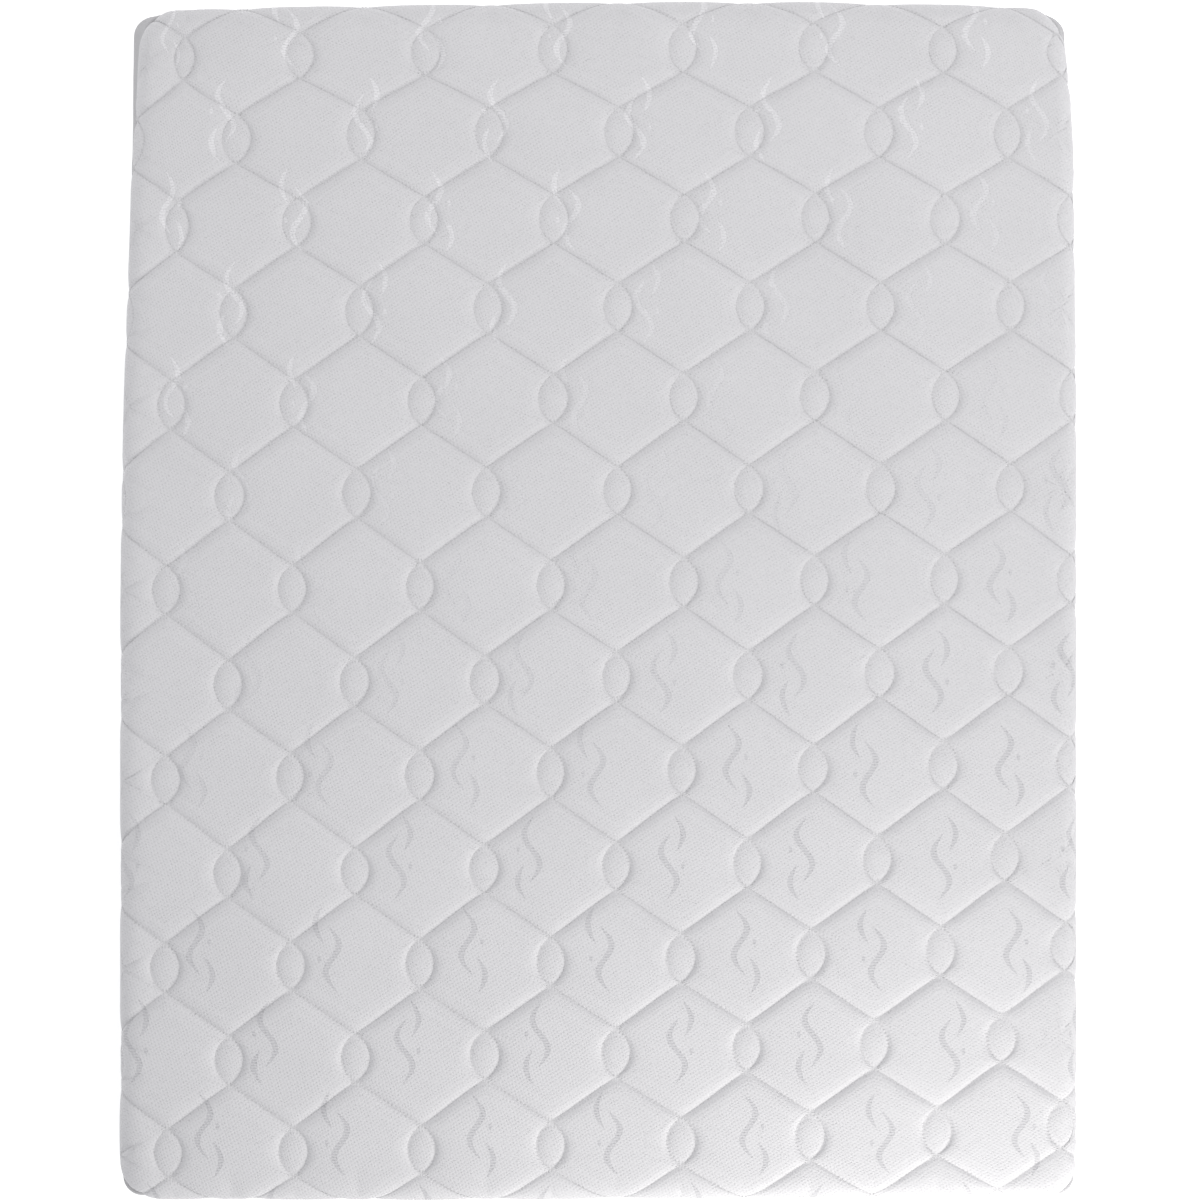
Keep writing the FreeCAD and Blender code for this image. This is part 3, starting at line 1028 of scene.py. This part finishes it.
def simulate(o, pin_ids, soft_w, pressure, shrink, frames, cap, quality=5, tension=12.0, bend=0.4, mass=0.25):
    """Blender's cloth on o: pinned points are held, the rest inflates and settles."""
    start = coords(o)
    vg = o.vertex_groups.new(name="pin")
    n = len(start)
    pinned = np.zeros(n, bool)
    pinned[pin_ids] = True
    vg.add([int(i) for i in np.where(pinned)[0]], 1.0, "REPLACE")
    if soft_w > 0:
        vg.add([int(i) for i in np.where(~pinned)[0]], soft_w, "REPLACE")
    m = o.modifiers.new("cloth", "CLOTH")
    s = m.settings
    s.quality = quality
    s.mass = mass
    s.tension_stiffness = tension
    s.compression_stiffness = tension
    s.shear_stiffness = tension * 0.5
    s.bending_stiffness = bend
    s.tension_damping = 8.0
    s.compression_damping = 8.0
    s.shear_damping = 8.0
    s.air_damping = 4.0
    s.vertex_group_mass = "pin"
    s.pin_stiffness = 1.0
    s.use_pressure = pressure != 0
    s.uniform_pressure_force = pressure
    s.shrink_min = shrink
    s.shrink_max = shrink
    s.effector_weights.gravity = 0.0
    m.collision_settings.use_collision = False
    m.collision_settings.use_self_collision = False
    m.point_cache.frame_start = 1
    m.point_cache.frame_end = frames + 1
    scene.frame_start, scene.frame_end = 1, frames + 1
    for f in range(1, frames + 1):
        scene.frame_set(f)
    applied(o)
    scene.frame_set(1)
    o.vertex_groups.clear()
    end = coords(o)
    move = end - start
    # the folds that the simulation leaves finer than the cloth could hold are evened out
    ed = np.zeros(len(o.data.edges) * 2, np.int32)
    o.data.edges.foreach_get("vertices", ed)
    ed = ed.reshape(-1, 2)
    deg = np.bincount(ed.ravel(), minlength=n).astype(float)
    nn = normals_of(o)
    move = (move * nn).sum(1)[:, None] * nn
    for _ in range(40):
        acc = np.zeros_like(move)
        np.add.at(acc, ed[:, 0], move[ed[:, 1]])
        np.add.at(acc, ed[:, 1], move[ed[:, 0]])
        move = 0.4 * move + 0.6 * acc / np.maximum(deg, 1)[:, None]
        move[pinned] = 0.0
    L = np.linalg.norm(move, axis=1)
    print(o.name, "cloth moved mean %.2f max %.2f mm" % (L.mean(), L.max()))
    k = np.where(L > cap, cap / np.maximum(L, 1e-9), 1.0)
    set_coords(o, start + move * k[:, None])
    return o


import time
t0 = time.time()
simulate(panel, np.where(PIN)[0], 0.05, 2.5, -0.02, 14, 2.0)
print("cloth time", round(time.time() - t0, 1))

sub = panel.modifiers.new("subdivide", "SUBSURF")
sub.levels = 1
sub.render_levels = 1
sub.use_limit_surface = False
sub.boundary_smooth = "ALL"
sub.uv_smooth = "NONE"
applied(panel)
print("panel fine verts", len(panel.data.vertices), "faces", len(panel.data.polygons))
co = coords(panel)
# the middle of each cell is one even curve: the points there are put on a fitted one
dv = np.zeros(len(co) * 3, np.float32)
panel.data.attributes["dev"].data.foreach_get("vector", dv)
dv = dv.reshape(-1, 3)[:, :2].astype(float) / MM
for C in CENTRES:
    if abs(C[0]) > FLAT_X - 40 or abs(C[1]) > FLAT_Y - 40:
        continue
    dc_ = np.hypot(dv[:, 0] - C[0], dv[:, 1] - C[1])
    m_ = np.where(dc_ < 50.0)[0]
    x_, y_ = (dv[m_, 0] - C[0]) / 50.0, (dv[m_, 1] - C[1]) / 50.0
    A_ = np.stack([np.ones_like(x_), x_, y_, x_ * x_, x_ * y_, y_ * y_], 1)
    sol = np.linalg.lstsq(A_, co[m_, 2], rcond=None)[0]
    w_ = 1 - smoothstep((dc_[m_] - 24.0) / 26.0)
    co[m_, 2] = w_ * (A_ @ sol) + (1 - w_) * co[m_, 2]
    # across the surface the points follow the cloth's own coordinates, so the knit stays even
    co[m_, 0] = w_ * dv[m_, 0] + (1 - w_) * co[m_, 0]
    co[m_, 1] = w_ * dv[m_, 1] + (1 - w_) * co[m_, 1]
co = settle(co)
set_coords(panel, co)
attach(panel, "top_cover")
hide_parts("quilt_ticking", "quilt_wadding")

# ===========================================================================
# floor
# ===========================================================================
bpy.ops.mesh.primitive_plane_add(size=90.0, location=(0, 0, 0))
floor = bpy.context.object
floor.name = "floor"
floor.data.materials.append(floor_graph.mat)

for nm, key in (("zip_slider", "metal"), ("zip_pull", "metal"), ("zip_stops_upper", "metal"),
                ("zip_stops_lower", "metal")):
    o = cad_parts[nm]
    o.data.materials.clear()
    o.data.materials.append(MAT[key])


# ===========================================================================
# soft pieces below the panel. Lofts of a profile round the mattress
# ===========================================================================
def loft(name, hx, hy, R, profile, mat, step=12.0, n_corner=8, wobble=None, close=True,
         dev=False, seed=0):
    """profile: (offset outwards from the outline, z). Closed profile unless close is False."""
    P, N, run, total = rr_outline(hx, hy, (R,) * 4, step, n_corner)
    prof = np.array(profile, float)
    if dev:
        P, N, run = np.vstack([P, P[:1]]), np.vstack([N, N[:1]]), np.append(run, total)
    n, m = len(P), len(prof)
    V = np.zeros((n, m, 3))
    for i in range(m):
        off = np.full(n, prof[i, 0])
        if wobble is not None:
            off = off + wobble(run, np.full(n, prof[i, 1]), total)
        V[:, i, 0] = P[:, 0] + N[:, 0] * off
        V[:, i, 1] = P[:, 1] + N[:, 1] * off
        V[:, i, 2] = prof[i, 1]
    faces = []
    mm = m if close else m - 1
    for i in range(n - 1 if dev else n):
        i2 = (i + 1) % n
        for j in range(mm):
            j2 = (j + 1) % m
            faces.append((i * m + j, i * m + j2, i2 * m + j2, i2 * m + j))
    V = settle(V.reshape(-1, 3))
    o = make_mesh(name, V, faces, [mat])
    if dev:
        d = np.zeros((n, m, 3))
        d[:, :, 0] = run[:, None] * MM
        d[:, :, 1] = prof[None, :, 1] * MM
        at = o.data.attributes.new("dev", "FLOAT_VECTOR", "POINT")
        at.data.foreach_set("vector", d.reshape(-1, 3).astype(np.float32).ravel())
    return o


def ring_wave(run, z, total, k, amp, seed):
    r = np.random.default_rng(seed)
    out = np.zeros(len(run))
    for q in range(7):
        f = max(1, int(round(k * r.uniform(0.6, 1.7))))
        out = out + np.sin(2 * math.pi * f * run / total + r.uniform(0, 6.28) + z * 0.02 * r.uniform(-1, 1)) / 2.6
    return out * amp


# ---- padded side border: outer face swelling between its two seams, inner face flat
B_TOP, B_BOT = 170.5, 53.0


def border_profile():
    zz = np.linspace(B_TOP, B_BOT, 15)
    out = []
    for z in zz:
        f = (B_TOP - z) / (B_TOP - B_BOT)
        swell = 4.6 * math.sin(math.pi * min(max(f, 0.0), 1.0)) ** 0.55
        draw = -9.0 * math.exp(-(B_TOP - z) / 6.0) - 3.0 * math.exp(-(z - B_BOT) / 4.0)
        out.append((swell + draw - 1.0, z))
    inner = [(-8.3, z) for z in np.linspace(B_BOT + 1.0, B_TOP - 3.0, 5)]
    return out + inner


def border_wobble(run, z, total):
    f = (z[0] - B_BOT) / (B_TOP - B_BOT)
    w = math.sin(math.pi * min(max(f, 0.02), 0.98))
    return w * (ring_wave(run, z, total, 26, 0.9, 5) + ring_wave(run, z, total, 90, 0.35, 6))


border = loft("side_border_cloth", 796, 996, 30, border_profile(), MAT["border"], wobble=border_wobble, dev=True)
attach(border, "top_cover")
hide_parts("border_ticking", "border_wadding")

# ---- lining inside it
lining = loft("border_lining_cloth", 786.6, 986.6, 24,
              [(0.35, z) for z in np.linspace(168, 55, 8)] + [(-0.35, z) for z in np.linspace(55, 168, 8)],
              MAT["lining"], wobble=lambda r, z, t: ring_wave(r, z, t, 40, 0.15, 8))
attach(lining, "top_cover")
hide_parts("border_lining")

# ---- underside of the quilting
BK, _, bt = base_map(U[:, 0], U[:, 1])
BN = base_map(U[:, 0], U[:, 1])[1]
bpos = BK - BN * (5.6 + 0.35 * H + 2.4 * smoothstep((bt - 20) / 40.0))[:, None]
bpos = settle(bpos)
backing = make_mesh("quilt_backing_cloth", bpos, [tuple(reversed(f)) for f in FACES], [MAT["backing"]])
at = backing.data.attributes.new("dev", "FLOAT_VECTOR", "POINT")
at.data.foreach_set("vector", np.column_stack([U * MM, np.zeros(len(U))]).astype(np.float32).ravel())
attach(backing, "top_cover")
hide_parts("quilt_backing")

# ---- zip tapes
for nm, node, body, z0, z1, sd in (("zip_tape_upper_cloth", "zip_tape_upper", "top_cover", 51.6, 63.0, 21),
                                   ("zip_tape_lower_cloth", "zip_tape_lower", "base", 33.0, 44.4, 22)):
    zz = np.linspace(z0, z1, 4)
    tape = loft(nm, 793.5, 993.5, 28, [(-0.35, z) for z in zz] + [(0.35, z) for z in zz[::-1]], MAT["tape"],
                wobble=lambda r, z, t: ring_wave(r, z, t, 60, 0.10, 21))
    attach(tape, body)
    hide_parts(node)


# ---- zip coils: one turned element for each tooth
def coil(name, node, body, zc, up, phase):
    P, N, run, total = rr_outline(793.5, 993.5, (27.5,) * 4, 1.0, 48)
    pitch = 3.0
    n = int(total / pitch)
    at_run = (np.arange(n) + phase) * pitch
    px = np.interp(at_run, np.append(run, total), np.append(P[:, 0], P[0, 0]))
    py = np.interp(at_run, np.append(run, total), np.append(P[:, 1], P[0, 1]))
    nx = np.interp(at_run, np.append(run, total), np.append(N[:, 0], N[0, 0]))
    ny = np.interp(at_run, np.append(run, total), np.append(N[:, 1], N[0, 1]))
    V, F = [], []
    for x, y, a, b in zip(px, py, nx, ny):
        if y < -985 and 594.8 < x < 609.2:
            continue
        L = math.hypot(a, b)
        a, b = a / L, b / L
        tx, ty = -b, a
        base = len(V)
        # rounded element, wider at its head by the middle of the zip
        for zo, w, d in ((-1.25, 0.62, 0.75), (-0.75, 0.75, 1.1), (0.75, 0.8, 1.15), (1.3, 0.55, 0.7)):
            z = zc + (zo if up else -zo) * 1.0
            for ct, cn in ((-1, -0.55), (-0.55, -1), (0.55, -1), (1, -0.55), (1, 0.55), (0.55, 1), (-0.55, 1), (-1, 0.55)):
                V.append((x + tx * ct * w * 1.25 + a * cn * d, y + ty * ct * w * 1.25 + b * cn * d, z))
        for q in range(3):
            for i in range(8):
                i2 = (i + 1) % 8
                f = (base + q * 8 + i, base + q * 8 + i2, base + q * 8 + 8 + i2, base + q * 8 + 8 + i)
                F.append(f if up else f[::-1])
        bot, top = tuple(range(base, base + 8))[::-1], tuple(range(base + 24, base + 32))
        F.append(bot if up else bot[::-1])
        F.append(top if up else top[::-1])
    o = make_mesh(name, V, F, [MAT["coil"]])
    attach(o, body)
    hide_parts(node)
    return o


coil("zip_coil_upper_teeth", "zip_coil_upper", "top_cover", 50.0, False, 0.0)
coil("zip_coil_lower_teeth", "zip_coil_lower", "base", 46.0, True, 0.5)


# ---- under cover: border band, binding over the bottom seam, bottom panel
def under_wobble(run, z, total):
    return ring_wave(run, z, total, 34, 0.45, 31)


lb = loft("lower_border_cloth", 796, 996, 30,
          [(-1.6, 43.0), (-0.4, 41.8), (0.2, 36.0), (0.5, 28.0), (0.5, 20.0), (0.2, 12.0), (-0.4, 7.0),
           (-1.2, 6.2), (-1.9, 8.0), (-1.6, 20.0), (-1.6, 34.0), (-2.2, 42.0)], MAT["under"], wobble=under_wobble)
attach(lb, "base")
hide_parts("lower_border")

bind = loft("bottom_seam_binding_tape", 796.0, 996.0, 30,
            [(-2.0, 6.6), (0.2, 6.4), (1.0, 5.2), (1.2, 3.3), (1.0, 1.6), (0.2, 0.5), (-2.0, 0.3), (-2.3, 3.2)],
            MAT["binding"], wobble=lambda r, z, t: ring_wave(r, z, t, 120, 0.15, 33))
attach(bind, "base")
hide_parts("bottom_seam_binding")


def cap_rings(hx, hy, R, n_corner=8, step=24.0):
    P, N, run, total = rr_outline(hx, hy, (R,) * 4, step, n_corner)
    return P, N


def slab(name, hx, hy, R, z0, z1, round_bottom, round_top, mat, wave, seed):
    """Foam slab: sides with rounded edges, gently uneven top and sides."""
    P, N = cap_rings(hx, hy, R)
    n = len(P)
    rows = []
    for f in (0.02, 0.25, 0.5, 0.7, 0.84, 0.93):
        rows.append((("s", f), z0))
    for a in np.linspace(0, math.pi / 2, 4):
        rows.append((("o", -round_bottom * (1 - math.sin(a))), z0 + round_bottom * (1 - math.cos(a))))
    for f in (0.25, 0.5, 0.75):
        rows.append((("o", 0.0), z0 + round_bottom + (z1 - round_top - z0 - round_bottom) * f))
    for a in np.linspace(0, math.pi / 2, 6):
        rows.append((("o", -round_top * (1 - math.cos(a))), z1 - round_top * (1 - math.sin(a))))
    for f in (0.93, 0.84, 0.7, 0.5, 0.25, 0.02):
        rows.append((("s", f), z1))
    V = np.zeros((n, len(rows), 3))
    for i, ((kind, val), z) in enumerate(rows):
        if kind == "s":
            edge = round_bottom if i < 8 else round_top
            Q = (P - N * edge) * val
        else:
            Q = P + N * val
        V[:, i, :2] = Q
        V[:, i, 2] = z
    flat = V.reshape(-1, 3)
    z = flat[:, 2]
    w = waves(flat[:, 0], flat[:, 1], 420.0, seed) * wave
    top = smoothstep((z - (z0 + z1) / 2) / ((z1 - z0) / 2))
    flat[:, 2] -= np.abs(w) * top * 0.5
    side = waves(np.arctan2(flat[:, 1], flat[:, 0]) * 900, z, 260.0, seed + 1) * 0.35 * wave
    r = np.hypot(flat[:, 0], flat[:, 1])
    flat[:, :2] -= (flat[:, :2] / np.maximum(r, 1)[:, None]) * np.abs(side)[:, None]
    m = len(rows)
    faces = [(i * m + j, ((i + 1) % n) * m + j, ((i + 1) % n) * m + j + 1, i * m + j + 1)
             for i in range(n) for j in range(m - 1)]
    faces.append(tuple(i * m for i in range(n))[::-1])
    faces.append(tuple(i * m + m - 1 for i in range(n)))
    o = make_mesh(name, settle(flat), faces, [mat])
    return o


bp = slab("bottom_panel_cloth", 794.6, 994.6, 28, 0.2, 3.0, 1.0, 1.0, MAT["under"], 0.2, 41)
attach(bp, "base")
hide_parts("bottom_panel")

for nm, node, z0, z1, rb, rt, key, sd in (
        ("support_foam_slab", "support_foam_core", 3.4, 113.2, 3.0, 2.0, "support", 51),
        ("transition_foam_slab", "transition_foam_layer", 113.6, 143.5, 1.5, 1.5, "transition", 52),
        ("memory_foam_slab", "memory_foam_layer", 143.8, 203.5, 1.5, 20.0, "memory", 53)):
    o = slab(nm, 785, 985, 50, z0, z1, rb, rt, MAT[key], 0.8, sd)
    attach(o, "base")
    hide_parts(node)


# ===========================================================================
# stitches: short lengths of thread lying in the quilting lines
# ===========================================================================
def stitches():
    V, F = [], []
    seen = set()
    for key, (P, S, n) in list(_curves.items()):
        if key in seen:
            continue
        seen.add(key)
        seg = np.hypot(*np.diff(P, axis=0).T)
        run = np.concatenate([[0], np.cumsum(seg)])
        k = n
        for i in range(k):
            a0, a1 = (i + 0.14) / k * run[-1], (i + 0.86) / k * run[-1]
            aa = np.array([a0, 0.5 * (a0 + a1), a1])
            U3 = np.stack([np.interp(aa, run, P[:, 0]), np.interp(aa, run, P[:, 1])], 1)
            if (outline_sd(U3[:, 0], U3[:, 1]) > -1.5).any():
                continue
            Q, N = panel_place(U3, np.zeros(3))
            Q = settle(Q)
            lift = np.array([-0.3, 0.45, -0.3])
            Q = Q + N * lift[:, None]
            d = Q[2] - Q[0]
            d = d / max(np.linalg.norm(d), 1e-9)
            s = np.cross(N[1], d)
            base = len(V)
            for c, (q, w) in enumerate(zip(Q, (0.22, 0.42, 0.22))):
                up = N[c]
                V += [q + s * w, q + up * w, q - s * w, q - up * w]
            for c in range(2):
                for r_ in range(4):
                    r2 = (r_ + 1) % 4
                    F.append((base + c * 4 + r_, base + c * 4 + 4 + r_, base + c * 4 + 4 + r2, base + c * 4 + r2))
            F.append((base, base + 1, base + 2, base + 3))
            F.append((base + 11, base + 10, base + 9, base + 8))
    return V, F


SV, SF = stitches()
print("stitch verts", len(SV))
thread = make_mesh("quilting_thread", np.array(SV), SF, [MAT["thread"]])
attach(thread, "top_cover")
